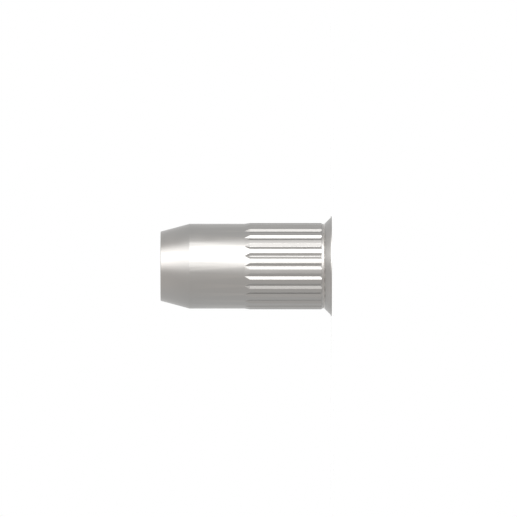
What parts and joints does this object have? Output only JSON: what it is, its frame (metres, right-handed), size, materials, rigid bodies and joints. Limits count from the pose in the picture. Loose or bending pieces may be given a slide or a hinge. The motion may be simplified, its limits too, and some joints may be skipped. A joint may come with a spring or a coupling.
{
  "type": "rivet nut",
  "caption": "Open-ended blind rivet nut: thin countersunk head, grooved knurl, plain shank, tapered tip, wide collapse bore and a tapped hole at the tip end.",
  "frame": {"origin": "centre of the head's flat outer face", "axes": "+Z along the shank from the head towards the tip, through the tapped hole; -Y through the middle of one knurl groove"},
  "size_m": [0.007, 0.007, 0.012],
  "materials": {
    "plated_steel": "satin pale plating over turned steel, faint turning marks"
  },
  "bodies": {
    "root": {"rivet_nut": "plated_steel"}
  },
  "joints": []
}
